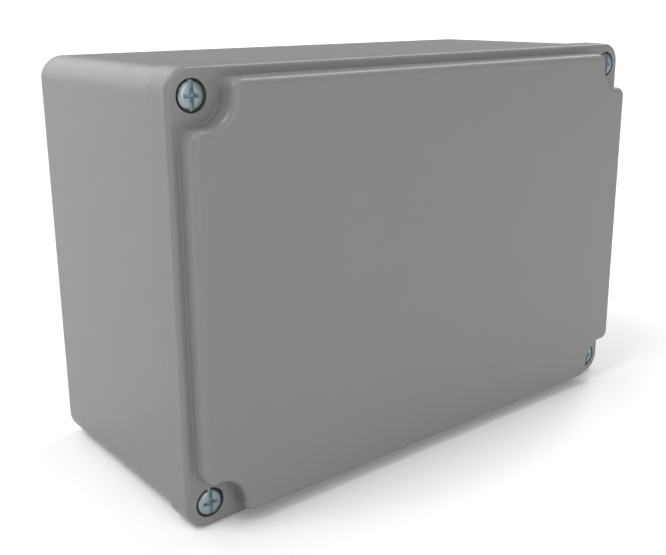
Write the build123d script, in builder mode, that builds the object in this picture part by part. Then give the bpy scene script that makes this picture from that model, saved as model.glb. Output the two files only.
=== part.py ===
from build123d import *
import math
import os

os.makedirs("parts", exist_ok=True)

# Overall size in millimetres. The box stands on its long lower side and its lid faces -Y.
box_width = 190.0
box_height = 130.0
box_depth = 90.0

# Lid casting: a rim all round, a raised panel in front of it and a hollow behind it.
rim_depth = 9.6
panel_rise = 6.7
panel_plate = 3.2
lid_corner_radius = 7.0
lid_draft = 1.0
rim_edge_radius = 1.3
panel_inset = 3.2
panel_notch_radius = 8.2
panel_corner_radius = 3.3
panel_draft = 1.5
panel_edge_radius = 2.0
panel_foot_radius = 0.4
lid_hollow_draft = 1.5
lid_hollow_corner_radius = 3.0
lid_hollow_edge_radius = 1.5

# Body casting: an open tray behind the parting plane.
body_inset = 0.6
body_wall = 4.0
back_wall = 4.0
body_corner_radius = 7.5
body_draft = 0.2
back_edge_radius = 3.0
hollow_draft = 0.5
hollow_corner_radius = 4.0
hollow_edge_radius = 2.5

# Captive lid screws: pan head, slot with a cross recess, snap ring in a groove of the shank.
screw_inset = 7.5
thread_pitch = 0.7
shank_radius = 1.95
thread_clearance = 0.1
screw_length = 22.0
screw_travel = 7.0
head_radius = 4.0
head_height = 3.1
head_edge_radius = 1.1
head_proud = 0.5
slot_width = 1.3
slot_depth = 1.4
cross_width = 1.15
cross_length = 5.4
cross_depth = 1.7
cross_core_radius = 1.3
cross_core_draft = 20.0
shank_tip_chamfer = 0.5
counterbore_clearance = 0.5
hole_clearance = 0.3

# Snap rings, one in each screw's groove.
ring_groove_depth = 0.4
ring_thickness = 0.6
ring_radius = 3.5
ring_mouth = 2.7
ring_relief_radius = 0.7
ring_relief_angle = 120.0
ring_side_gap = 0.05
ring_bore_gap = 0.06
ring_stop_gap = 0.1
ring_recess_gap = 0.5

# Wall fixing holes beside the lid screws, outside the seal and under the lid.
fixing_offset = 10.5
fixing_hole_radius = 2.4
fixing_bore_radius = 4.25
fixing_floor = 5.0
block_land = 1.2
block_radius = 6.0

# Seal: a gasket in a groove of the lid, pressed by a tongue on the body's rim.
seal_inset = 2.9
groove_width = 3.0
groove_depth = 3.0
tongue_width = 1.2
tongue_height = 1.0
gasket_side_gap = 0.1
seal_bend_radius = 4.0
lid_groove_land = 1.8
relief_depth = 6.6

# Threaded bosses on the floor for a mounting plate, and one for the earth terminal.
plate_hole_span = 140.0
plate_hole_rise = 70.0
boss_radius = 4.5
boss_height = 8.0
boss_draft = 2.0
boss_thread_depth = 9.0
earth_drop = 43.0
earth_boss_radius = 4.3
earth_boss_height = 6.0
earth_thread_depth = 7.0

# Earth terminal: toothed washer, clamp with turned-down lips, screw.
earth_screw_length = 8.0
washer_bore_radius = 2.2
washer_ring_radius = 3.3
washer_radius = 4.0
washer_thickness = 0.5
washer_teeth = 12
tooth_width = 0.9
tooth_twist = 18.0
clamp_length = 9.6
clamp_plate = 1.0
clamp_lip_depth = 1.6
clamp_lip_gap = 0.3
clamp_bend_radius = 0.8

# Heights over the outer back face, measured towards the lid.
body_depth = box_depth - panel_rise - rim_depth
rim_front = body_depth + rim_depth
screw_seat = rim_front + head_proud - head_height
ring_top = body_depth - screw_travel - ring_stop_gap
thread_start = ring_top - ring_thickness - ring_stop_gap
tapped_radius = shank_radius + thread_clearance
counterbore_radius = head_radius + counterbore_clearance
screw_span = box_width - 2 * screw_inset
screw_rise = box_height - 2 * screw_inset
fixing_span = screw_span - 2 * fixing_offset
lid_hollow_depth = box_depth - panel_plate - body_depth

# The block in each corner that holds a lid screw and a fixing hole, out to the seal's centre line.
seal_to_bore = fixing_bore_radius + block_land + groove_width / 2
block_width = screw_inset + fixing_offset + seal_to_bore
block_height = screw_inset + seal_to_bore

# The earth terminal's stack on its boss.
earth_z = box_height / 2 - earth_drop
earth_boss_top = back_wall + earth_boss_height
washer_height = washer_thickness * math.cos(math.radians(tooth_twist))
washer_height += tooth_width * math.sin(math.radians(tooth_twist))
clamp_seat = earth_boss_top + washer_height
earth_seat = clamp_seat + clamp_plate
clamp_width = 2 * (earth_boss_radius + clamp_lip_gap + clamp_plate)

# The four corners, each with the side it lies on.
corners = [
    ("top_left", -1, 1),
    ("top_right", 1, 1),
    ("bottom_right", 1, -1),
    ("bottom_left", -1, -1),
]


def facing_front(height):
    """Plane at this height over the back face that looks out of the lid."""
    return Plane(origin=(0, box_depth / 2 - height, box_height / 2), x_dir=(1, 0, 0), z_dir=(0, -1, 0))


def facing_back(height):
    """Plane at this height over the back face that looks out of the back."""
    return Plane(origin=(0, box_depth / 2 - height, box_height / 2), x_dir=(-1, 0, 0), z_dir=(0, 1, 0))


def along_axis(x, z, height):
    """Plane through an axis along Y: its own x is the radius and its own y runs towards the back."""
    return Plane(origin=(x, box_depth / 2 - height, z), x_dir=(1, 0, 0), z_dir=(0, 0, 1))


def sealed_area(margin, corner_radius, block_radius):
    """Area this far inside the seal's centre line, passing the corner blocks on their inner side."""
    with BuildSketch() as area:
        Rectangle(box_width - 2 * (seal_inset + margin), box_height - 2 * (seal_inset + margin))
        with GridLocations(box_width, box_height, 2, 2):
            Rectangle(2 * (block_width + margin), 2 * (block_height + margin), mode=Mode.SUBTRACT)
        by_distance = area.vertices().sort_by_distance((0, 0, 0))
        fillet(by_distance[4:], radius=corner_radius)
        by_distance = area.vertices().sort_by_distance((0, 0, 0))
        fillet(by_distance[:4], radius=block_radius)
    return area.sketch


def seal_strip(width):
    """Closed strip of this width along the seal's centre line."""
    with BuildSketch() as strip:
        half = width / 2
        add(sealed_area(-half, seal_bend_radius + half, seal_to_bore - half))
        add(sealed_area(half, seal_bend_radius - half, seal_to_bore + half), mode=Mode.SUBTRACT)
    return strip.sketch


body_hollow = sealed_area(body_inset + body_wall - seal_inset, hollow_corner_radius, block_radius)
lid_hollow = sealed_area(groove_width / 2 + lid_groove_land, lid_hollow_corner_radius, block_radius)
groove_strip = seal_strip(groove_width)
tongue_strip = seal_strip(tongue_width)
gasket_strip = seal_strip(groove_width - 2 * gasket_side_gap)

# Body: a drafted tray with corner blocks, a tongue on its rim and bosses on its floor.
with BuildPart() as box_body:
    with BuildSketch(facing_back(body_depth)):
        RectangleRounded(box_width - 2 * body_inset, box_height - 2 * body_inset, body_corner_radius)
    extrude(amount=body_depth, taper=body_draft)
    fillet(box_body.faces().sort_by(Axis.Y)[-1].edges(), radius=back_edge_radius)
    with BuildSketch(facing_back(body_depth)):
        add(body_hollow)
    extrude(amount=body_depth - back_wall, taper=hollow_draft, mode=Mode.SUBTRACT)
    floor = box_body.faces().filter_by(Axis.Y).sort_by(Axis.Y)[-2]
    fillet(floor.edges(), radius=hollow_edge_radius)
    with BuildSketch(facing_front(back_wall)):
        with GridLocations(plate_hole_span, plate_hole_rise, 2, 2):
            Circle(boss_radius)
    extrude(amount=boss_height, taper=boss_draft)
    with BuildSketch(facing_front(back_wall)):
        with Locations((0, -earth_drop)):
            Circle(earth_boss_radius)
    extrude(amount=earth_boss_height)
    with BuildSketch(facing_front(body_depth)):
        add(tongue_strip)
    extrude(amount=tongue_height)
    with Locations(facing_front(body_depth)):
        with GridLocations(screw_span, screw_rise, 2, 2):
            CounterBoreHole(
                radius=tapped_radius,
                counter_bore_radius=ring_radius + ring_recess_gap,
                counter_bore_depth=body_depth - thread_start,
                depth=body_depth - (screw_seat - screw_length) + 2 * thread_pitch,
            )
        with GridLocations(fixing_span, screw_rise, 2, 2):
            CounterBoreHole(
                radius=fixing_hole_radius,
                counter_bore_radius=fixing_bore_radius,
                counter_bore_depth=body_depth - fixing_floor,
                depth=body_depth,
            )
    with Locations(facing_front(back_wall + boss_height)):
        with GridLocations(plate_hole_span, plate_hole_rise, 2, 2):
            Hole(radius=tapped_radius, depth=boss_thread_depth)
    with Locations(facing_front(back_wall + earth_boss_height)):
        with Locations((0, -earth_drop)):
            Hole(radius=tapped_radius, depth=earth_thread_depth)
box_body.part.label = "box_body"
export_step(box_body.part, "parts/box_body.step")

# Lid: drafted rim, raised panel notched round the screws, hollow and gasket groove behind.
with BuildPart() as lid:
    with BuildSketch(facing_front(body_depth)):
        RectangleRounded(box_width, box_height, lid_corner_radius)
    extrude(amount=rim_depth, taper=lid_draft)
    with BuildSketch(facing_front(rim_front)) as panel:
        Rectangle(box_width - 2 * panel_inset, box_height - 2 * panel_inset)
        with GridLocations(screw_span, screw_rise, 2, 2):
            Circle(panel_notch_radius, mode=Mode.SUBTRACT)
        fillet(panel.vertices(), radius=panel_corner_radius)
    extrude(amount=panel_rise, taper=panel_draft)
    panel_face = lid.faces().filter_by(Axis.Y).sort_by(Axis.Y)[0]
    fillet(panel_face.edges(), radius=panel_edge_radius)
    rim_face = lid.faces().filter_by(Axis.Y).sort_by(Axis.Y)[1]
    fillet(rim_face.inner_wires()[0].edges(), radius=panel_foot_radius)
    rim_face = lid.faces().filter_by(Axis.Y).sort_by(Axis.Y)[1]
    fillet(rim_face.outer_wire().edges(), radius=rim_edge_radius)
    with BuildSketch(facing_front(body_depth)):
        add(lid_hollow)
    extrude(amount=lid_hollow_depth, taper=lid_hollow_draft, mode=Mode.SUBTRACT)
    ceiling = lid.faces().filter_by(Axis.Y).sort_by(Axis.Y)[1]
    fillet(ceiling.edges(), radius=lid_hollow_edge_radius)
    with BuildSketch(facing_front(body_depth)):
        add(groove_strip)
    extrude(amount=groove_depth, mode=Mode.SUBTRACT)
    with BuildSketch(facing_front(body_depth)):
        with GridLocations(fixing_span, screw_rise, 2, 2):
            Circle(fixing_bore_radius)
    extrude(amount=relief_depth, mode=Mode.SUBTRACT)
    with Locations(facing_front(rim_front)):
        with GridLocations(screw_span, screw_rise, 2, 2):
            CounterBoreHole(
                radius=shank_radius + hole_clearance,
                counter_bore_radius=counterbore_radius,
                counter_bore_depth=rim_front - screw_seat,
                depth=rim_depth,
            )
lid.part.label = "lid"
export_step(lid.part, "parts/lid.step")

# Gasket: flat strip that fills the groove between its floor and the tongue.
with BuildPart() as lid_gasket:
    with BuildSketch(facing_front(body_depth + tongue_height)):
        add(gasket_strip)
    extrude(amount=groove_depth - tongue_height)
lid_gasket.part.label = "lid_gasket"
export_step(lid_gasket.part, "parts/lid_gasket.step")

# Screws: name, place of the axis, height of the seat under the head, length, ring groove or none.
screws = []
for corner, side, level in corners:
    x = side * screw_span / 2
    z = box_height / 2 + level * screw_rise / 2
    screws.append((f"lid_screw_{corner}", x, z, screw_seat, screw_length, True))
screws.append(("earth_screw", 0, earth_z, earth_seat, earth_screw_length, False))

for name, x, z, seat, length, has_groove in screws:
    outline = [(0, -head_height), (head_radius, -head_height), (head_radius, 0), (shank_radius, 0)]
    if has_groove:
        groove_start = seat - ring_top - ring_side_gap
        groove_end = seat - ring_top + ring_thickness + ring_side_gap
        outline.append((shank_radius, groove_start))
        outline.append((shank_radius - ring_groove_depth, groove_start))
        outline.append((shank_radius - ring_groove_depth, groove_end))
        outline.append((shank_radius, groove_end))
    outline.append((shank_radius, length - shank_tip_chamfer))
    outline.append((shank_radius - shank_tip_chamfer, length))
    outline.append((0, length))
    head_top = Plane(origin=(x, box_depth / 2 - seat - head_height, z), x_dir=(1, 0, 0), z_dir=(0, -1, 0))
    with BuildPart() as screw:
        with BuildSketch(along_axis(x, z, seat)):
            with BuildLine():
                Polyline(outline, close=True)
            make_face()
        revolve(axis=Axis((x, 0, z), (0, 1, 0)))
        rim = screw.edges().filter_by(GeomType.CIRCLE).sort_by(Axis.Y)[0]
        fillet(rim, radius=head_edge_radius)
        with BuildSketch(head_top):
            Rectangle(slot_width, 2 * head_radius)
        extrude(amount=-slot_depth, mode=Mode.SUBTRACT)
        with BuildSketch(head_top):
            Rectangle(cross_length, cross_width)
        extrude(amount=-cross_depth, mode=Mode.SUBTRACT)
        with BuildSketch(head_top):
            Circle(cross_core_radius)
        extrude(amount=-cross_depth, taper=cross_core_draft, mode=Mode.SUBTRACT)
    screw.part.label = name
    export_step(screw.part, f"parts/{name}.step")

# Snap rings: open towards the middle of the box, gripping the groove with three lobes.
ring_bore_radius = shank_radius - ring_groove_depth + ring_bore_gap
for corner, side, level in corners:
    x = side * screw_span / 2
    z = box_height / 2 + level * screw_rise / 2
    ring_face = Plane(origin=(x, box_depth / 2 - ring_top, z), x_dir=(-side, 0, 0), z_dir=(0, 1, 0))
    with BuildPart() as screw_ring:
        with BuildSketch(ring_face):
            Circle(ring_radius)
            Circle(ring_bore_radius, mode=Mode.SUBTRACT)
            with Locations((ring_radius / 2, 0)):
                Rectangle(ring_radius, ring_mouth, mode=Mode.SUBTRACT)
            for angle in (-ring_relief_angle, ring_relief_angle):
                with PolarLocations(ring_bore_radius, 1, start_angle=angle):
                    Circle(ring_relief_radius, mode=Mode.SUBTRACT)
        extrude(amount=ring_thickness)
    name = f"screw_ring_{corner}"
    screw_ring.part.label = name
    export_step(screw_ring.part, f"parts/{name}.step")

# Toothed washer: flat ring with twisted teeth that touch the boss and the clamp.
with BuildPart() as earth_toothed_washer:
    with BuildSketch(facing_front(earth_boss_top + (washer_height - washer_thickness) / 2)):
        with Locations((0, -earth_drop)):
            Circle(washer_ring_radius)
            Circle(washer_bore_radius, mode=Mode.SUBTRACT)
    extrude(amount=washer_thickness)
    with Locations(facing_front(earth_boss_top + washer_height / 2)):
        with Locations((0, -earth_drop)):
            with PolarLocations((washer_radius + washer_bore_radius) / 2, washer_teeth):
                Box(
                    washer_radius - washer_bore_radius,
                    tooth_width,
                    washer_thickness,
                    rotation=(tooth_twist, 0, 0),
                )
earth_toothed_washer.part.label = "earth_toothed_washer"
export_step(earth_toothed_washer.part, "parts/earth_toothed_washer.step")

# Clamp: pressed plate whose turned-down lips hold the wire and stop it turning on its boss.
with BuildPart() as earth_clamp:
    with BuildSketch(along_axis(0, earth_z, clamp_seat)) as section:
        with Locations((0, (clamp_lip_depth - clamp_plate) / 2)):
            Rectangle(clamp_width, clamp_plate + clamp_lip_depth)
        fillet(section.vertices().group_by(Axis.Y)[0], radius=clamp_bend_radius)
        with Locations((0, clamp_lip_depth / 2)):
            Rectangle(clamp_width - 2 * clamp_plate, clamp_lip_depth, mode=Mode.SUBTRACT)
    extrude(amount=clamp_length / 2, both=True)
    with Locations(facing_front(earth_seat)):
        with Locations((0, -earth_drop)):
            Hole(radius=shank_radius + hole_clearance, depth=clamp_plate)
earth_clamp.part.label = "earth_clamp"
export_step(earth_clamp.part, "parts/earth_clamp.step")
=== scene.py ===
"""Looks of a die cast aluminium box with captive lid screws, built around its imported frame."""

import math
from contextlib import contextmanager

import bmesh
import bpy
from mathutils import Matrix, Vector


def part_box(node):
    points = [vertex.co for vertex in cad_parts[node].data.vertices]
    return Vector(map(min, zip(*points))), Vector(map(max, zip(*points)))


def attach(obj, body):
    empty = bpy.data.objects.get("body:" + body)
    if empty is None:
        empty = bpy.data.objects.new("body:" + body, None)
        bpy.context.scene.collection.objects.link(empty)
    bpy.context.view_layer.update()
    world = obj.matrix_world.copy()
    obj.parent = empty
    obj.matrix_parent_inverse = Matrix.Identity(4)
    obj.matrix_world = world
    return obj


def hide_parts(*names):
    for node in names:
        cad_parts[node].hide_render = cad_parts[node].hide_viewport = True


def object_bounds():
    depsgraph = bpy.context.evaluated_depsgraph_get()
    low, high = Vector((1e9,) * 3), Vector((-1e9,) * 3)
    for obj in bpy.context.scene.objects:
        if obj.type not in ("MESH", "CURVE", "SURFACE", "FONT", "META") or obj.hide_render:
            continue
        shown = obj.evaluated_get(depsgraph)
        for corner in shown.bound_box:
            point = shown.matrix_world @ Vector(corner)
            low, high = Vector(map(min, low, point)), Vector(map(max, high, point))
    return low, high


bl_info = {
    "name": "Die Cast Box Dressing",
    "version": (1, 0, 0),
    "blender": (4, 5, 0),
    "location": "3D View > Sidebar > Die Cast Box",
    "description": "Finishes and fine pieces of a die cast box with a screwed lid",
    "category": "Object",
}

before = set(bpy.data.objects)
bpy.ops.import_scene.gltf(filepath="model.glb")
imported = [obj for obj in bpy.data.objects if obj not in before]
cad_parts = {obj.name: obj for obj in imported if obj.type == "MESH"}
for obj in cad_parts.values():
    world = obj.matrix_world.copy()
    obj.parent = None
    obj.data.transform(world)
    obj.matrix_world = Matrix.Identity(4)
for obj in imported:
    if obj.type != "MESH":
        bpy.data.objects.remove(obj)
CAD_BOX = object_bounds()

# Which side of the middle each corner lies on, across and up.
CORNERS = {
    "top_left": (-1, 1),
    "top_right": (1, 1),
    "bottom_right": (1, -1),
    "bottom_left": (-1, -1),
}

# Wall fixing holes: distance from the middle across and up, their mouth along Y, and their depth.
PLATE_ACROSS = 0.07
PLATE_UP = 0.035
PLATE_MOUTH = 0.033
PLATE_DEPTH = 0.009

# Bare metal: how far past a tapped thread it reaches, how far from the back wall's outer face it
# stops, and the machined face of the earth boss.
BARE_MARGIN = 0.00004
BACK_SKIN = 0.0015
BOSS_FACE_RADIUS = 0.0043
BOSS_FACE_DEPTH = 0.00002

# Tapped threads: how far they go past a lid screw's tip, and start below the snap ring.
LID_THREAD_PAST_TIP = 0.0014
THREAD_MOUTH_GAP = 0.0001
EARTH_THREAD_DEPTH = 0.007

# Lid screws: play and depth of the groove that the snap ring sits in.
RING_PLAY = 0.00005
RING_GROOVE_DEPTH = 0.0004

# Pan head: crown as shares of its radius and drops below its top, then a rounded shoulder that
# starts so many degrees from upright, and the core that the threaded rod is joined to.
CROWN = ((0, 0), (0.3, 0.00002), (0.62, 0.0001))
SHOULDER_DROP = 0.00018
SHOULDER_RADIUS = 0.0011
SHOULDER_START = 12
SHOULDER_STEPS = 8
SEAT_CHAMFER = 0.00012
CORE_GAP = 0.0001
CORE_END = 0.0006
GROOVE_LIP = 0.00005
HEAD_NECK = 0.0002

# Driver recess: slot, cross arms that narrow as they go down, and the point in the middle.
SLOT_LENGTH_SHARE = 2.4
SLOT_OVERCUT = 0.0001
ARM_OVERCUT = 0.0005
ARM_WIDTH_SHARE = 0.9
ARM_DEPTH = 0.0019
ARM_FLOOR_REACH = 0.6
ARM_FLOOR_WIDTH = 0.85
POINT = {"vertices": 24, "radius1": 0.0003, "radius2": 0.0014, "depth": 0.0026}
POINT_DROP = 0.001

# Coned tip of a screw's rod, and how far its envelope reaches past the rod.
TIP_INSET = 0.0005
TIP_HEIGHT = 0.0011
ENVELOPE_GAP = 0.0006
ENVELOPE_TOP = 0.002

# Earth screw: end of its plain shank and top of its rod, from the seat of its head.
EARTH_SHANK = -0.0006
EARTH_ROD_TOP = 0.0003

# Threads: steps in one turn, slope of a flank, and how deep a tapped thread's foot and crest lie.
THREAD_STEPS = 36
TURN_STEPS = 72
FLANK_SLOPE = math.tan(math.radians(30))
FOOT_SINK = 0.00002
TAPPED_CREST_GAP = 0.00014

# Points nearer than this are one point. The coarse one is for helices and carved heads.
MERGE = 1e-7
COARSE_MERGE = 1e-6

# Width of the rounded edges of the small pieces.
HEAD_EDGE = 0.00006
GASKET_EDGE = 0.0005
RING_EDGE = 0.00008
WASHER_EDGE = 0.00005
CLAMP_EDGE = 0.0001

FLOOR_SIZE = 12
FLOOR_CELLS = 8


def node_middle(node):
    """Middle of a CAD node's box."""
    low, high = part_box(node)
    return (low + high) / 2


# Property groups: the sizes and colours that a user would change.


class CoatFinish(bpy.types.PropertyGroup):
    """Powder coat on the castings."""

    colour: bpy.props.FloatVectorProperty(
        name="Coat colour",
        description="Colour of the powder coat",
        subtype="COLOR",
        min=0,
        max=1,
        default=(0.193, 0.193, 0.192),
    )
    roughness: bpy.props.FloatProperty(
        name="Coat roughness",
        description="Mean roughness of the satin coat",
        subtype="FACTOR",
        min=0,
        max=1,
        default=0.41,
    )
    peel_size: bpy.props.FloatProperty(
        name="Orange peel size",
        description="Width of one swell of the levelled powder",
        unit="LENGTH",
        min=0.0001,
        default=0.0014,
    )
    peel_depth: bpy.props.FloatProperty(
        name="Orange peel depth",
        description="Height of the swells in the levelled powder",
        unit="LENGTH",
        min=0,
        default=0.000009,
    )
    bare_colour: bpy.props.FloatVectorProperty(
        name="Bare aluminium colour",
        description="Colour of the tapped holes and of the machined earth boss",
        subtype="COLOR",
        min=0,
        max=1,
        default=(0.72, 0.72, 0.73),
    )


class MetalFinish(bpy.types.PropertyGroup):
    """Plated and spring steel."""

    zinc_colour: bpy.props.FloatVectorProperty(
        name="Zinc colour",
        description="Colour of the blue passivated zinc plating",
        subtype="COLOR",
        min=0,
        max=1,
        default=(0.26, 0.325, 0.352),
    )
    zinc_roughness: bpy.props.FloatProperty(
        name="Zinc roughness",
        description="Mean roughness of the zinc plating",
        subtype="FACTOR",
        min=0,
        max=1,
        default=0.4,
    )
    # Painted shade in the driver recess: how light its zinc is beside the rest of the head.
    recess_painted_shade: bpy.props.FloatProperty(
        name="Recess shade",
        description="How light the dull zinc in the driver recess is beside the rest",
        min=0,
        default=1.05,
    )
    spring_colour: bpy.props.FloatVectorProperty(
        name="Spring steel colour",
        description="Colour of the oiled spring steel",
        subtype="COLOR",
        min=0,
        max=1,
        default=(0.16, 0.155, 0.15),
    )
    rubber_colour: bpy.props.FloatVectorProperty(
        name="Gasket colour",
        description="Colour of the foam rubber gasket",
        subtype="COLOR",
        min=0,
        max=1,
        default=(0.018, 0.018, 0.019),
    )


class ScrewSizes(bpy.types.PropertyGroup):
    """Sizes of the screws and of the threads that they turn in."""

    head_height: bpy.props.FloatProperty(
        name="Head height",
        description="Height of the pan head over its seat",
        unit="LENGTH",
        default=0.0031,
    )
    head_radius: bpy.props.FloatProperty(
        name="Head radius",
        description="Radius of the pan head",
        unit="LENGTH",
        default=0.004,
    )
    crest_radius: bpy.props.FloatProperty(
        name="Crest radius",
        description="Outer radius of the screw thread",
        unit="LENGTH",
        default=0.00195,
    )
    root_radius: bpy.props.FloatProperty(
        name="Root radius",
        description="Inner radius of the screw thread",
        unit="LENGTH",
        default=0.00154,
    )
    pitch: bpy.props.FloatProperty(
        name="Thread pitch",
        description="Rise of the thread in one turn",
        unit="LENGTH",
        default=0.0007,
    )
    slot_width: bpy.props.FloatProperty(
        name="Slot width",
        description="Width of the driver slot",
        unit="LENGTH",
        default=0.0013,
    )
    slot_depth: bpy.props.FloatProperty(
        name="Slot depth",
        description="Depth of the driver slot",
        unit="LENGTH",
        default=0.0014,
    )
    cross_reach: bpy.props.FloatProperty(
        name="Cross reach",
        description="Distance from the middle to the end of a cross arm",
        unit="LENGTH",
        default=0.0027,
    )
    tapped_radius: bpy.props.FloatProperty(
        name="Tapped radius",
        description="Radius of the tapped holes at the root of their thread",
        unit="LENGTH",
        default=0.00205,
    )


class StageLook(bpy.types.PropertyGroup):
    """Floor, lights and camera."""

    floor_colour: bpy.props.FloatVectorProperty(
        name="Floor colour",
        description="Colour of the pale floor",
        subtype="COLOR",
        min=0,
        max=1,
        default=(0.9, 0.9, 0.9),
    )
    near_glow: bpy.props.FloatProperty(
        name="Near glow",
        description="Light that the floor gives by itself beside the box, as a light table does",
        min=0,
        default=0.08,
    )
    far_glow: bpy.props.FloatProperty(
        name="Far glow",
        description="Light that the floor gives by itself away from the box",
        min=0,
        default=0.75,
    )
    glow_reach: bpy.props.FloatVectorProperty(
        name="Glow reach",
        description="Distances from the floor's middle where its glow starts and stops to grow",
        unit="LENGTH",
        size=2,
        default=(1.4, 3.6),
    )
    sky_strength: bpy.props.FloatProperty(
        name="Sky strength",
        description="Strength of the even light from all round",
        min=0,
        default=0.335,
    )
    lamp_distance: bpy.props.FloatProperty(
        name="Lamp distance",
        description="Distance of the lamps from the box",
        unit="LENGTH",
        min=0.5,
        default=3.0,
    )
    camera_place: bpy.props.FloatVectorProperty(
        name="Camera place",
        description="Where the camera stands",
        subtype="TRANSLATION",
        unit="LENGTH",
        default=(-0.20667, -0.24471, 0.14604),
    )
    camera_turn: bpy.props.FloatVectorProperty(
        name="Camera turn",
        description="Turn of the camera about X, Y and Z",
        subtype="EULER",
        unit="ROTATION",
        default=(math.radians(75.023), math.radians(0.172), math.radians(-39.625)),
    )
    camera_lens: bpy.props.FloatProperty(
        name="Camera lens",
        description="Focal length in millimetres on a 36 mm wide sensor",
        default=49.81,
    )
    camera_shift: bpy.props.FloatVectorProperty(
        name="Camera shift",
        description="Shift of the picture across and up, in picture widths",
        size=2,
        default=(-0.0232, -0.0481),
    )


# Soft lamps: name, degrees round the box from the front, degrees up, width as a share of the
# distance, and light on the box.
LAMPS = (
    ("front_lamp", 0, 14, 0.5, 2.55),
    ("front_top_lamp", 0, 55, 0.5, 1.15),
    ("left_top_lamp", -93, 59, 0.42, 4.45),
    ("left_lamp", -110, 45, 0.5, 1.0),
    ("back_left_lamp", -150, 15, 0.5, 1.35),
    ("back_lamp", -168, 22, 0.5, 1.15),
    ("back_top_lamp", 178, 34, 0.5, 1.35),
    ("right_lamp", 110, 30, 0.28, 1.0),
    ("right_top_lamp", 100, 57, 0.28, 2.8),
)

GROUPS = {
    "box_coat": CoatFinish,
    "box_metal": MetalFinish,
    "box_screws": ScrewSizes,
    "box_stage": StageLook,
}


# Shader nodes.


class Value:
    """An output socket that adds Math nodes when it is used in an expression."""

    def __init__(self, shader, socket):
        self.shader = shader
        self.socket = socket

    def maths(self, operation, *inputs):
        return self.shader.add("ShaderNodeMath", {"operation": operation}, dict(enumerate(inputs)))

    def __add__(self, other):
        return self.maths("ADD", self, other)

    def __radd__(self, other):
        return self.maths("ADD", other, self)

    def __sub__(self, other):
        return self.maths("SUBTRACT", self, other)

    def __rsub__(self, other):
        return self.maths("SUBTRACT", other, self)

    def __mul__(self, other):
        return self.maths("MULTIPLY", self, other)

    def __rmul__(self, other):
        return self.maths("MULTIPLY", other, self)

    def __abs__(self):
        return self.maths("ABSOLUTE", self)

    def __lt__(self, other):
        return self.maths("LESS_THAN", self, other)

    def __gt__(self, other):
        return self.maths("GREATER_THAN", self, other)

    def root(self):
        return self.maths("SQRT", self)

    def either(self, other):
        return self.maths("MAXIMUM", self, other)


class Shader:
    """Material with a Principled shader, and the means to add nodes to it."""

    def __init__(self, name):
        self.material = bpy.data.materials.new(name)
        self.material.use_nodes = True
        self.tree = self.material.node_tree
        self.surface = self.tree.nodes["Principled BSDF"]
        self.place = self.add("ShaderNodeTexCoord", {}, {}, "Object")

    def add(self, kind, settings, inputs, output=0):
        """A node of this kind: its settings are set first, then its inputs. Gives one output."""
        node = self.tree.nodes.new(kind)
        for setting, value in settings.items():
            setattr(node, setting, value)
        for name, value in inputs.items():
            self.feed(node.inputs[name], value)
        return Value(self, node.outputs[output])

    def feed(self, socket, value):
        if isinstance(value, Value):
            self.tree.links.new(value.socket, socket)
        else:
            socket.default_value = value

    def axes(self):
        """X, Y and Z of the point that is shaded."""
        node = self.add("ShaderNodeSeparateXYZ", {}, {"Vector": self.place})
        return [Value(self, socket) for socket in node.socket.node.outputs]

    def noise(self, size, detail=2, roughness=0.5, stretch=(1, 1, 1)):
        """Noise from 0 to 1 whose swells are about this wide, in metres."""
        place = self.add("ShaderNodeMapping", {}, {"Vector": self.place, "Scale": stretch})
        inputs = {"Vector": place, "Scale": 1 / size, "Detail": detail, "Roughness": roughness}
        return self.add("ShaderNodeTexNoise", {}, inputs)

    def spread(self, value, low, high):
        """A value from 0 to 1 spread over low to high."""
        inputs = {"Value": value, "To Min": low, "To Max": high}
        return self.add("ShaderNodeMapRange", {}, inputs)

    def blend(self, share, first, second):
        """Colour that goes from the first to the second as share goes from 0 to 1."""
        settings = {"data_type": "RGBA"}
        inputs = {0: share, 6: first, 7: second}
        return self.add("ShaderNodeMix", settings, inputs, 2)

    def bump(self, height, depth, under=None):
        """Bump of this depth in metres for a height that goes from 0 to 1."""
        inputs = {"Strength": 1.0, "Distance": depth, "Height": height}
        if under:
            inputs["Normal"] = under
        return self.add("ShaderNodeBump", {}, inputs)

    def set(self, **sockets):
        """Sets or links the Principled shader's sockets, named with underscores for spaces."""
        for name, value in sockets.items():
            self.feed(self.surface.inputs[name.replace("_", " ")], value)
        return self.material


def opaque(colour, factor=1.0):
    """Colour with four channels, made lighter or darker by a factor."""
    return (*[min(1.0, channel * factor) for channel in colour], 1.0)


def powder_coat_material(name, coat, bare=None):
    """Satin grey powder coat. Where bare is given, it says by shader what is bare aluminium."""
    shader = Shader(name)
    cloud = shader.noise(0.03, 3)
    grain = shader.noise(0.00035, 2)
    tint = shader.blend(cloud, opaque(coat.colour, 0.975), opaque(coat.colour, 1.025))
    tint = shader.blend(shader.spread(grain, 0, 0.16), tint, opaque(coat.colour, 0.8))
    satin = shader.spread(shader.noise(0.006, 3), coat.roughness - 0.05, coat.roughness + 0.05)
    if bare:
        cut = bare(shader)
        tint = shader.blend(cut, tint, opaque(coat.bare_colour))
        satin = satin - cut * 0.14
        shader.set(Metallic=cut)
    fine = shader.bump(grain, coat.peel_depth * 0.25)
    peel = shader.bump(shader.noise(coat.peel_size, 3, 0.45), coat.peel_depth, fine)
    return shader.set(Base_Color=tint, Roughness=satin, Normal=peel)


def bare_places(shader, bores, radius, boss, back):
    """One in the tapped bores, short of the back, and on the face of a boss. Nothing elsewhere."""
    across, along, up = shader.axes()

    def distance(x, z):
        return ((across - x) * (across - x) + (up - z) * (up - z)).root()

    bare = distance(*bores[0]) < radius
    for x, z in bores[1:]:
        bare = bare.either(distance(x, z) < radius)
    bare = bare * (along < back)
    x, z, boss_radius, face = boss
    return bare.either((distance(x, z) < boss_radius) * (abs(along - face) < BOSS_FACE_DEPTH))


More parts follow.
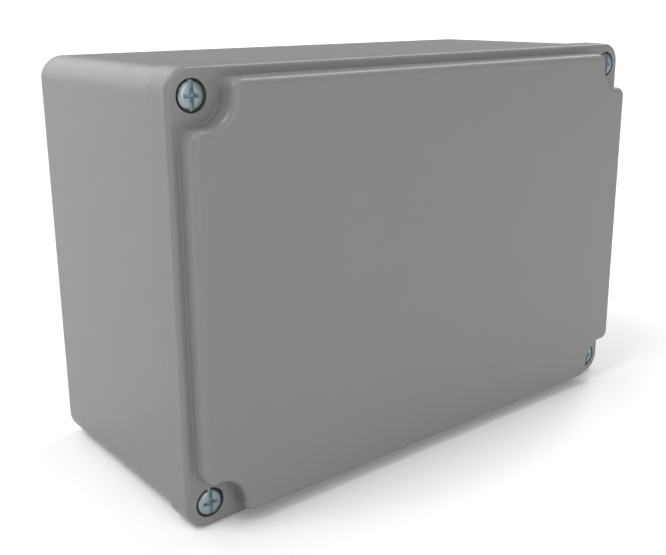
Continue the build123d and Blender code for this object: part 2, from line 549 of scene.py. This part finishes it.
def bare_aluminium_material(coat):
    """Freshly cut aluminium of the tapped threads."""
    shader = Shader("cut_aluminium")
    scratch = shader.noise(0.00012, 2, 0.5, (1, 6, 1))
    dull, bright = opaque(coat.bare_colour, 0.9), opaque(coat.bare_colour, 1.05)
    return shader.set(
        Base_Color=shader.blend(scratch, dull, bright),
        Metallic=1.0,
        Roughness=shader.spread(scratch, 0.22, 0.36),
        Normal=shader.bump(scratch, 0.000002),
    )


def zinc_material(metal):
    """Zinc plating with blue passivation, a little cloudy and finely scratched."""
    shader = Shader("zinc_plate")
    cloud = shader.noise(0.0016, 3)
    scratch = shader.noise(0.00015, 3, 0.6, (1, 1, 5))
    warm = [channel * shift for channel, shift in zip(metal.zinc_colour, (1.16, 1.08, 0.98))]
    tint = shader.blend(cloud, opaque(metal.zinc_colour), opaque(warm))
    worn = opaque(metal.zinc_colour, 0.78)
    smooth, rough = metal.zinc_roughness - 0.08, metal.zinc_roughness + 0.1
    return shader.set(
        Base_Color=shader.blend(shader.spread(scratch, 0, 0.3), tint, worn),
        Metallic=1.0,
        Roughness=shader.spread(cloud * 0.6 + scratch * 0.4, smooth, rough),
        Normal=shader.bump(scratch, 0.0000015),
    )


def recess_painted_shade_material(metal):
    """Zinc in the driver recess, with painted shade: set by its colour and by making it dull and
    hardly metallic.
    """
    shader = Shader("zinc_recess_painted_shade")
    cloud = shader.noise(0.0006, 3)
    low = opaque(metal.zinc_colour, 0.8 * metal.recess_painted_shade)
    high = opaque(metal.zinc_colour, 1.2 * metal.recess_painted_shade)
    return shader.set(
        Base_Color=shader.blend(cloud, low, high),
        Metallic=0.2,
        Roughness=shader.spread(cloud, 0.45, 0.6),
        Normal=shader.bump(cloud, 0.000004),
    )


def spring_steel_material(metal):
    """Hardened spring steel with an oil film and faint rolling marks."""
    shader = Shader("spring_steel")
    cloud = shader.noise(0.0012, 3)
    rolled = shader.noise(0.0002, 2, 0.5, (1, 1, 8))
    dark, light = opaque(metal.spring_colour, 0.75), opaque(metal.spring_colour, 1.3)
    return shader.set(
        Base_Color=shader.blend(cloud, dark, light),
        Metallic=1.0,
        Roughness=shader.spread(rolled, 0.3, 0.45),
        Normal=shader.bump(rolled, 0.0000015),
    )


def rubber_material(metal):
    """Black foam rubber with a skin of fine closed cells."""
    shader = Shader("foam_rubber")
    cells = shader.add("ShaderNodeTexVoronoi", {}, {"Vector": shader.place, "Scale": 2600.0})
    bloom = shader.noise(0.004, 3)
    black, dusty = opaque(metal.rubber_colour), opaque(metal.rubber_colour, 2.0)
    return shader.set(
        Base_Color=shader.blend(bloom, black, dusty),
        Roughness=shader.spread(bloom, 0.72, 0.88),
        Normal=shader.bump(cells, 0.00003),
    )


def floor_material(stage):
    """Pale matt floor with a hardly visible mottle."""
    shader = Shader("pale_floor")
    cloud = shader.noise(0.4, 2)
    across, along = shader.axes()[:2]
    start, end = stage.glow_reach
    away = (across * across + along * along).root()
    inputs = {"Value": away, "From Min": start, "From Max": end}
    reach = shader.add("ShaderNodeMapRange", {"interpolation_type": "SMOOTHSTEP"}, inputs)
    near, far = [opaque((1, 1, 1), glow) for glow in (stage.near_glow, stage.far_glow)]
    mottle, plain = opaque(stage.floor_colour, 0.985), opaque(stage.floor_colour)
    return shader.set(
        Base_Color=shader.blend(cloud, mottle, plain),
        Roughness=0.9,
        Emission_Color=shader.blend(reach, near, far),
        Emission_Strength=1.0,
    )


def white_sky(strength):
    """World that lights evenly with this strength and that the camera sees as white."""
    world = bpy.data.worlds.new("soft_sky")
    world.use_nodes = True
    tree = world.node_tree
    path = tree.nodes.new("ShaderNodeLightPath")
    spread = tree.nodes.new("ShaderNodeMapRange")
    spread.inputs["To Min"].default_value = strength
    tree.links.new(path.outputs["Is Camera Ray"], spread.inputs["Value"])
    sky = tree.nodes["Background"]
    sky.inputs["Color"].default_value = (1, 1, 1, 1)
    tree.links.new(spread.outputs["Result"], sky.inputs["Strength"])
    return world


def add_lamp(name, target, distance, azimuth, elevation, width, light):
    """Square lamp that looks at the target. Azimuth 0 stands in front, and 90 on the right."""
    turn, rise = math.radians(azimuth), math.radians(elevation)
    level = math.cos(rise)
    away = Vector((math.sin(turn) * level, -math.cos(turn) * level, math.sin(rise)))
    aim = (-away).to_track_quat("-Z", "Y").to_euler()
    bpy.ops.object.light_add(type="AREA", location=target + away * distance, rotation=aim)
    lamp = bpy.context.active_object
    lamp.name = name
    lamp.data.shape = "SQUARE"
    lamp.data.size = width * distance
    lamp.data.energy = light * distance**2


def dress(piece, material):
    piece.data.materials.clear()
    piece.data.materials.append(material)


# Modelling by hand.


def only(*pieces):
    """Selects these objects alone, the first one active."""
    if bpy.context.mode != "OBJECT":
        bpy.ops.object.mode_set(mode="OBJECT")
    bpy.ops.object.select_all(action="DESELECT")
    for piece in pieces:
        piece.select_set(True)
    bpy.context.view_layer.objects.active = pieces[0]


def primitive(operator, name, **settings):
    """Adds one mesh primitive and names it."""
    bpy.ops.object.select_all(action="DESELECT")
    operator(**settings)
    piece = bpy.context.active_object
    piece.name = piece.data.name = name
    return piece


@contextmanager
def edit_mode(piece, select_mode="VERT"):
    """Edit mode on one piece, with nothing selected."""
    only(piece)
    bpy.ops.object.mode_set(mode="EDIT")
    bpy.ops.mesh.select_mode(type=select_mode)
    bpy.ops.mesh.select_all(action="DESELECT")
    yield
    bpy.ops.object.mode_set(mode="OBJECT")


def pick(piece, test):
    """Selects the vertices whose place passes the test, in edit mode."""
    shape = bmesh.from_edit_mesh(piece.data)
    for vert in shape.verts:
        if test(vert.co):
            vert.select_set(True)
    shape.select_flush_mode()
    bmesh.update_edit_mesh(piece.data)


def apply_modifier(piece, kind, **settings):
    """Adds a modifier with these settings and applies it."""
    only(piece)
    modifier = piece.modifiers.new(kind.lower(), kind)
    for setting, value in settings.items():
        setattr(modifier, setting, value)
    bpy.ops.object.modifier_apply(modifier=modifier.name)


def fix_order(piece):
    """Orders a mesh by the places of its points, because a boolean's order changes each run."""
    mesh = piece.data
    places = [tuple(vert.co) for vert in mesh.vertices]
    order = sorted(range(len(places)), key=places.__getitem__)
    rank = {old: new for new, old in enumerate(order)}
    faces = []
    for face in mesh.polygons:
        ring = [rank[vert] for vert in face.vertices]
        start = ring.index(min(ring))
        faces.append((ring[start:] + ring[:start], face.material_index))
    faces.sort()
    ordered = bpy.data.meshes.new(mesh.name)
    ordered.from_pydata([places[old] for old in order], [], [ring for ring, _ in faces])
    for material in mesh.materials:
        ordered.materials.append(material)
    for face, (_, index) in zip(ordered.polygons, faces):
        face.material_index = index
    piece.data = ordered
    bpy.data.meshes.remove(mesh)


def carve(piece, operation, tool, material):
    """Joins a tool to a piece or cuts it away, leaves this material there and deletes the tool."""
    dress(tool, material)
    settings = {"operation": operation, "solver": "EXACT", "material_mode": "TRANSFER"}
    apply_modifier(piece, "BOOLEAN", object=tool, **settings)
    bpy.data.objects.remove(tool)
    fix_order(piece)


def tidy_mesh(piece, merge=MERGE, smooth_degrees=30):
    """Merges doubles, turns normals outwards and shades it smooth below an angle."""
    with edit_mode(piece):
        bpy.ops.mesh.select_all(action="SELECT")
        bpy.ops.mesh.remove_doubles(threshold=merge)
        bpy.ops.mesh.normals_make_consistent(inside=False)
    only(piece)
    bpy.ops.object.shade_smooth_by_angle(angle=math.radians(smooth_degrees))


def drop_slivers(piece):
    """Cuts the faces into triangles and dissolves those with no area, so that the mesh closes."""
    with edit_mode(piece):
        bpy.ops.mesh.select_all(action="SELECT")
        bpy.ops.mesh.quads_convert_to_tris(quad_method="BEAUTY", ngon_method="BEAUTY")
        bpy.ops.mesh.dissolve_degenerate(threshold=COARSE_MERGE)


def edges_along(name, outline, closed=False):
    """Piece of edges alone, along an outline of radius and height."""
    piece = primitive(bpy.ops.mesh.primitive_plane_add, name, size=0.001)
    with edit_mode(piece):
        bpy.ops.mesh.select_all(action="SELECT")
        bpy.ops.mesh.delete(type="VERT")
        shape = bmesh.from_edit_mesh(piece.data)
        verts = [shape.verts.new((radius, 0, height)) for radius, height in outline]
        ends = verts[1:] + verts[:1] if closed else verts[1:]
        for start, end in zip(verts, ends):
            shape.edges.new((start, end))
        bmesh.update_edit_mesh(piece.data)
    return piece


def lathe(name, outline):
    """Closed solid turned about Z from an outline that starts and ends on Z."""
    piece = edges_along(name, outline)
    with edit_mode(piece):
        bpy.ops.mesh.select_all(action="SELECT")
        bpy.ops.mesh.spin(steps=TURN_STEPS, angle=math.tau, center=(0, 0, 0), axis=(0, 0, 1))
        bpy.ops.mesh.select_all(action="SELECT")
        bpy.ops.mesh.remove_doubles(threshold=MERGE)
        bpy.ops.mesh.normals_make_consistent(inside=False)
    return piece


def place_screw_axis(piece, seat):
    """Turns a piece modelled along Z so that it looks out of the lid, and moves it to its seat."""
    turn = Matrix.Rotation(math.radians(90), 4, "X")
    piece.data.transform(Matrix.Translation(seat) @ turn)
    piece.matrix_world = Matrix.Identity(4)


def seat_of(node):
    """X, Y and Z of the seat under the head of a screw node, and the screw's length below it."""
    low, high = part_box(node)
    seat = low.y + bpy.context.scene.box_screws.head_height
    return ((low.x + high.x) / 2, seat, (low.z + high.z) / 2), high.y - seat


def sweep_thread(name, outline, start, turns, closed=False):
    """Helix of so many turns that a thread's outline sweeps, from the pitch numbered start."""
    pitch = bpy.context.scene.box_screws.pitch
    places = [(radius, start * pitch + height) for radius, height in outline]
    piece = edges_along(name, places, closed)
    apply_modifier(
        piece,
        "SCREW",
        iterations=turns,
        steps=THREAD_STEPS,
        render_steps=THREAD_STEPS,
        screw_offset=pitch,
        use_merge_vertices=not closed,
        merge_threshold=COARSE_MERGE,
    )
    return piece


def screw_thread(name, low, high):
    """Threaded rod from one height to another, cut flat at both ends."""
    screws = bpy.context.scene.box_screws
    pitch = screws.pitch
    crest, root = screws.crest_radius, screws.root_radius
    flank = (crest - root) * FLANK_SLOPE
    crest_half = pitch / 16
    outline = [
        (root, 0),
        (root, pitch / 2 - crest_half - flank),
        (crest, pitch / 2 - crest_half),
        (crest, pitch / 2 + crest_half),
        (root, pitch / 2 + crest_half + flank),
        (root, pitch),
    ]
    start = math.floor(low / pitch) - 1
    piece = sweep_thread(name, outline, start, math.ceil(high / pitch) + 1 - start)
    with edit_mode(piece):
        bpy.ops.mesh.select_all(action="SELECT")
        bpy.ops.mesh.remove_doubles(threshold=COARSE_MERGE)
        for height, keep_above in ((low, True), (high, False)):
            bpy.ops.mesh.select_all(action="SELECT")
            bpy.ops.mesh.bisect(
                plane_co=(0, 0, height),
                plane_no=(0, 0, 1),
                use_fill=True,
                clear_inner=keep_above,
                clear_outer=not keep_above,
                threshold=MERGE,
            )
        bpy.ops.mesh.select_all(action="SELECT")
        bpy.ops.mesh.normals_make_consistent(inside=False)
    return piece


def box_cutter(name, size, middle):
    """Box of this size whose middle lies on Z at this height."""
    piece = primitive(bpy.ops.mesh.primitive_cube_add, name, size=1, location=(0, 0, middle))
    piece.scale = size
    only(piece)
    bpy.ops.object.transform_apply(location=True, rotation=True, scale=True)
    return piece


def cross_cutter():
    """Cutter for one pair of cross arms, along X, whose ends slope in as they go down."""
    screws = bpy.context.scene.box_screws
    height = ARM_DEPTH + ARM_OVERCUT
    middle = screws.head_height + ARM_OVERCUT - height / 2
    size = (2 * screws.cross_reach, screws.slot_width * ARM_WIDTH_SHARE, height)
    piece = box_cutter("arm_cutter", size, middle)
    floor = (ARM_FLOOR_REACH, ARM_FLOOR_WIDTH, 1)
    with edit_mode(piece):
        pick(piece, lambda point: point.z < middle)
        bpy.ops.transform.resize(value=floor, center_override=(0, 0, middle))
    return piece


def screw_head(name, zinc, recess, groove=None, shank=0.0):
    """Pan head with its plain shank below, if any, and the ring groove in it."""
    screws = bpy.context.scene.box_screws
    radius, height = screws.head_radius, screws.head_height
    outline = [(radius * share, height - drop) for share, drop in CROWN]
    for step in range(SHOULDER_STEPS + 1):
        angle = math.radians(SHOULDER_START + (90 - SHOULDER_START) * step / SHOULDER_STEPS)
        across = radius - SHOULDER_RADIUS * (1 - math.sin(angle))
        outline.append((across, height - SHOULDER_DROP - SHOULDER_RADIUS * (1 - math.cos(angle))))
    outline += [(radius, SEAT_CHAMFER), (radius - SEAT_CHAMFER, 0)]
    core = screws.root_radius - CORE_GAP
    if groove:
        start, end, floor = groove
        plain = screws.crest_radius
        outline += [(plain + HEAD_NECK, 0), (plain, -HEAD_NECK)]
        outline += [(plain, start + GROOVE_LIP), (plain - GROOVE_LIP, start)]
        outline += [(floor, start), (floor, end), (core, end), (core, end - CORE_END)]
    else:
        outline += [(core, 0), (core, shank)]
    outline.append((0, outline[-1][1]))
    piece = lathe(name, outline)
    dress(piece, zinc)
    size = (screws.slot_width, SLOT_LENGTH_SHARE * radius, screws.slot_depth)
    slot = box_cutter("slot_cutter", size, height - screws.slot_depth / 2 + SLOT_OVERCUT)
    carve(piece, "DIFFERENCE", slot, recess)
    for turn in (0, 90):
        arms = cross_cutter()
        arms.data.transform(Matrix.Rotation(math.radians(turn), 4, "Z"))
        carve(piece, "DIFFERENCE", arms, recess)
    settings = {"location": (0, 0, height - POINT_DROP), **POINT}
    point = primitive(bpy.ops.mesh.primitive_cone_add, "point_cutter", **settings)
    carve(piece, "DIFFERENCE", point, recess)
    tidy_mesh(piece, COARSE_MERGE)
    apply_modifier(
        piece,
        "BEVEL",
        width=HEAD_EDGE,
        segments=2,
        limit_method="ANGLE",
        angle_limit=math.radians(32),
    )
    return piece


def add_rod(screw, zinc, tip, top):
    """Joins a threaded rod with a coned tip to the underside of a screw's head."""
    radius = bpy.context.scene.box_screws.crest_radius
    rod = screw_thread("rod", tip, top)
    dress(rod, zinc)
    wide = radius + ENVELOPE_GAP
    outline = [(0, tip), (radius - TIP_INSET, tip), (wide, tip + TIP_HEIGHT)]
    outline += [(wide, ENVELOPE_TOP), (0, ENVELOPE_TOP)]
    carve(rod, "INTERSECT", lathe("tip_envelope", outline), zinc)
    carve(screw, "UNION", rod, zinc)
    drop_slivers(screw)
    tidy_mesh(screw)


def tapped_thread(name, low, high):
    """Helical ridge inside a tapped hole between two heights, its foot sunk in the wall."""
    screws = bpy.context.scene.box_screws
    pitch = screws.pitch
    foot = screws.tapped_radius + FOOT_SINK
    crest = screws.root_radius + TAPPED_CREST_GAP
    crest_half = pitch / 16
    foot_half = crest_half + (foot - crest) * FLANK_SLOPE
    outline = [
        (foot, -foot_half),
        (crest, -crest_half),
        (crest, crest_half),
        (foot, foot_half),
    ]
    start = math.ceil((low + foot_half) / pitch)
    turns = math.floor((high - foot_half) / pitch) - start
    piece = sweep_thread(name, outline, start, turns, closed=True)
    with edit_mode(piece, "EDGE"):
        bpy.ops.mesh.select_all(action="SELECT")
        bpy.ops.mesh.remove_doubles(threshold=COARSE_MERGE)
        bpy.ops.mesh.select_all(action="DESELECT")
        bpy.ops.mesh.select_non_manifold(extend=False)
        bpy.ops.mesh.edge_face_add()
        bpy.ops.mesh.select_all(action="SELECT")
        bpy.ops.mesh.normals_make_consistent(inside=False)
    return piece


def finish_thread(piece, material):
    """Smooths a tapped thread and fastens it in the body casting."""
    dress(piece, material)
    only(piece)
    bpy.ops.object.shade_smooth_by_angle(angle=math.radians(30))
    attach(piece, "box")


def softened_copy(node, name, width, segments=2):
    """Copy of a CAD node with merged corners and its edges rounded a little."""
    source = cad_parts[node]
    piece = bpy.data.objects.new(name, source.data.copy())
    bpy.context.scene.collection.objects.link(piece)
    only(piece)
    bpy.ops.mesh.customdata_custom_splitnormals_clear()
    with edit_mode(piece):
        bpy.ops.mesh.select_all(action="SELECT")
        bpy.ops.mesh.remove_doubles(threshold=MERGE)
        bpy.ops.mesh.dissolve_limited(angle_limit=math.radians(0.5))
    apply_modifier(
        piece,
        "BEVEL",
        width=width,
        segments=segments,
        limit_method="ANGLE",
        angle_limit=math.radians(40),
        use_clamp_overlap=True,
    )
    drop_slivers(piece)
    tidy_mesh(piece, smooth_degrees=35)
    return piece


def settle(piece, body, node):
    """Gives a finished piece its body and hides the CAD node that it stands for."""
    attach(piece, body)
    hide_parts(node)


def plate_hole(side, level):
    """X and Z of a wall fixing hole."""
    middle = CAD_BOX[0].lerp(CAD_BOX[1], 0.5).z
    return side * PLATE_ACROSS, middle + level * PLATE_UP


# Operators: one for each piece or group of like pieces, and one for the stage.


class BOX_OT_castings(bpy.types.Operator):
    """Coats the box and its lid"""

    bl_idname = "die_cast_box.castings"
    bl_label = "Coat Castings"

    def execute(self, context):
        scene = context.scene
        middle = CAD_BOX[0].lerp(CAD_BOX[1], 0.5).z
        corner = node_middle("lid_screw_top_right")
        earth = node_middle("earth_screw")
        holes = [(earth.x, earth.z)]
        for side, level in CORNERS.values():
            holes.append((side * corner.x, middle + level * (corner.z - middle)))
            holes.append(plate_hole(side, level))
        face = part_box("earth_toothed_washer")[1].y
        boss = (earth.x, earth.z, BOSS_FACE_RADIUS, face)
        radius = scene.box_screws.tapped_radius + BARE_MARGIN
        back = CAD_BOX[1].y - BACK_SKIN

        def bare(shader):
            return bare_places(shader, holes, radius, boss, back)

        coat = scene.box_coat
        dress(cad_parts["box_body"], powder_coat_material("powder_coat_body", coat, bare))
        dress(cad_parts["lid"], powder_coat_material("powder_coat_lid", coat))
        return {"FINISHED"}


class BOX_OT_screws(bpy.types.Operator):
    """Models the lid screws and the earth screw"""

    bl_idname = "die_cast_box.screws"
    bl_label = "Model Screws"

    def execute(self, context):
        zinc = zinc_material(context.scene.box_metal)
        # Zinc with painted shade, for the driver recesses.
        recess = recess_painted_shade_material(context.scene.box_metal)
        seat, length = seat_of("lid_screw_top_left")
        ring_low, ring_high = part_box("screw_ring_top_left")
        start = seat[1] - ring_low.y + RING_PLAY
        end = seat[1] - ring_high.y - RING_PLAY
        floor = context.scene.box_screws.crest_radius - RING_GROOVE_DEPTH
        lid_screw = screw_head("lid_screw_model", zinc, recess, (start, end, floor))
        add_rod(lid_screw, zinc, -length, end)
        for corner in CORNERS:
            node = f"lid_screw_{corner}"
            piece = lid_screw.copy()
            piece.data = lid_screw.data.copy()
            piece.name = piece.data.name = f"threaded_screw_{corner}"
            context.scene.collection.objects.link(piece)
            place_screw_axis(piece, seat_of(node)[0])
            settle(piece, f"screw_{corner}", node)
        bpy.data.objects.remove(lid_screw)
        seat, length = seat_of("earth_screw")
        earth_screw = screw_head("threaded_earth_screw", zinc, recess, shank=EARTH_SHANK)
        add_rod(earth_screw, zinc, -length, EARTH_ROD_TOP)
        place_screw_axis(earth_screw, seat)
        settle(earth_screw, "box", "earth_screw")
        return {"FINISHED"}


class BOX_OT_threads(bpy.types.Operator):
    """Models the threads in the tapped holes"""

    bl_idname = "die_cast_box.threads"
    bl_label = "Model Tapped Threads"

    def execute(self, context):
        cut = bare_aluminium_material(context.scene.box_coat)
        for corner in CORNERS:
            seat, length = seat_of(f"lid_screw_{corner}")
            mouth = seat[1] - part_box(f"screw_ring_{corner}")[1].y - THREAD_MOUTH_GAP
            piece = tapped_thread(f"lid_thread_{corner}", -length - LID_THREAD_PAST_TIP, mouth)
            place_screw_axis(piece, seat)
            finish_thread(piece, cut)
        for corner, (side, level) in CORNERS.items():
            piece = tapped_thread(f"plate_thread_{corner}", -PLATE_DEPTH, 0)
            x, z = plate_hole(side, level)
            place_screw_axis(piece, (x, PLATE_MOUTH, z))
            finish_thread(piece, cut)
        seat = seat_of("earth_screw")[0]
        mouth = seat[1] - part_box("earth_toothed_washer")[1].y
        piece = tapped_thread("earth_thread", mouth - EARTH_THREAD_DEPTH, mouth)
        place_screw_axis(piece, seat)
        finish_thread(piece, cut)
        return {"FINISHED"}


class BOX_OT_gasket(bpy.types.Operator):
    """Rounds the gasket's edges and gives it foam rubber"""

    bl_idname = "die_cast_box.gasket"
    bl_label = "Model Gasket"

    def execute(self, context):
        piece = softened_copy("lid_gasket", "foam_gasket", GASKET_EDGE, 4)
        dress(piece, rubber_material(context.scene.box_metal))
        settle(piece, "lid", "lid_gasket")
        return {"FINISHED"}


class BOX_OT_steel_parts(bpy.types.Operator):
    """Models the snap rings, the toothed washer and the earth clamp"""

    bl_idname = "die_cast_box.steel_parts"
    bl_label = "Model Steel Parts"

    def execute(self, context):
        metal = context.scene.box_metal
        spring = spring_steel_material(metal)
        for corner in CORNERS:
            node = f"screw_ring_{corner}"
            piece = softened_copy(node, f"snap_ring_{corner}", RING_EDGE)
            dress(piece, spring)
            settle(piece, f"ring_{corner}", node)
        washer = softened_copy("earth_toothed_washer", "toothed_washer", WASHER_EDGE, 1)
        dress(washer, spring)
        settle(washer, "box", "earth_toothed_washer")
        clamp = softened_copy("earth_clamp", "pressed_clamp", CLAMP_EDGE)
        dress(clamp, bpy.data.materials["zinc_plate"])
        settle(clamp, "box", "earth_clamp")
        return {"FINISHED"}


class BOX_OT_stage(bpy.types.Operator):
    """Sets up the floor, the lights and the camera"""

    bl_idname = "die_cast_box.stage"
    bl_label = "Set Up Stage"

    def execute(self, context):
        scene = context.scene
        stage = scene.box_stage
        cells = {"x_subdivisions": FLOOR_CELLS, "y_subdivisions": FLOOR_CELLS}
        floor = primitive(bpy.ops.mesh.primitive_grid_add, "floor", size=FLOOR_SIZE, **cells)
        dress(floor, floor_material(stage))
        scene.world = white_sky(stage.sky_strength)
        target = (CAD_BOX[0] + CAD_BOX[1]) / 2
        for name, azimuth, elevation, width, light in LAMPS:
            add_lamp(name, target, stage.lamp_distance, azimuth, elevation, width, light)
        bpy.ops.object.camera_add(location=stage.camera_place, rotation=stage.camera_turn)
        camera = context.active_object
        camera.name = "photo_camera"
        camera.data.lens = stage.camera_lens
        camera.data.sensor_width = 36
        camera.data.shift_x, camera.data.shift_y = stage.camera_shift
        camera.data.clip_start = 0.01
        camera.data.clip_end = 50
        scene.camera = camera
        scene.view_settings.view_transform = "Standard"
        return {"FINISHED"}


OPERATORS = (
    BOX_OT_castings,
    BOX_OT_screws,
    BOX_OT_threads,
    BOX_OT_gasket,
    BOX_OT_steel_parts,
    BOX_OT_stage,
)


class BOX_PT_dressing(bpy.types.Panel):
    """Shows the box's settings and the buttons of its operators"""

    bl_idname = "BOX_PT_dressing"
    bl_label = "Die Cast Box"
    bl_space_type = "VIEW_3D"
    bl_region_type = "UI"
    bl_category = "Die Cast Box"

    def draw(self, context):
        for group in GROUPS:
            settings = getattr(context.scene, group)
            for name in settings.__annotations__:
                self.layout.prop(settings, name)
        for operator in OPERATORS:
            self.layout.operator(operator.bl_idname)


def register():
    for kind in (*GROUPS.values(), *OPERATORS, BOX_PT_dressing):
        bpy.utils.register_class(kind)
    for name, group in GROUPS.items():
        setattr(bpy.types.Scene, name, bpy.props.PointerProperty(type=group))


def unregister():
    for name in GROUPS:
        delattr(bpy.types.Scene, name)
    for kind in (BOX_PT_dressing, *reversed(OPERATORS), *GROUPS.values()):
        bpy.utils.unregister_class(kind)


def main():
    register()
    bpy.ops.die_cast_box.castings()
    bpy.ops.die_cast_box.screws()
    bpy.ops.die_cast_box.threads()
    bpy.ops.die_cast_box.gasket()
    bpy.ops.die_cast_box.steel_parts()
    bpy.ops.die_cast_box.stage()


if __name__ == "__main__":
    main()
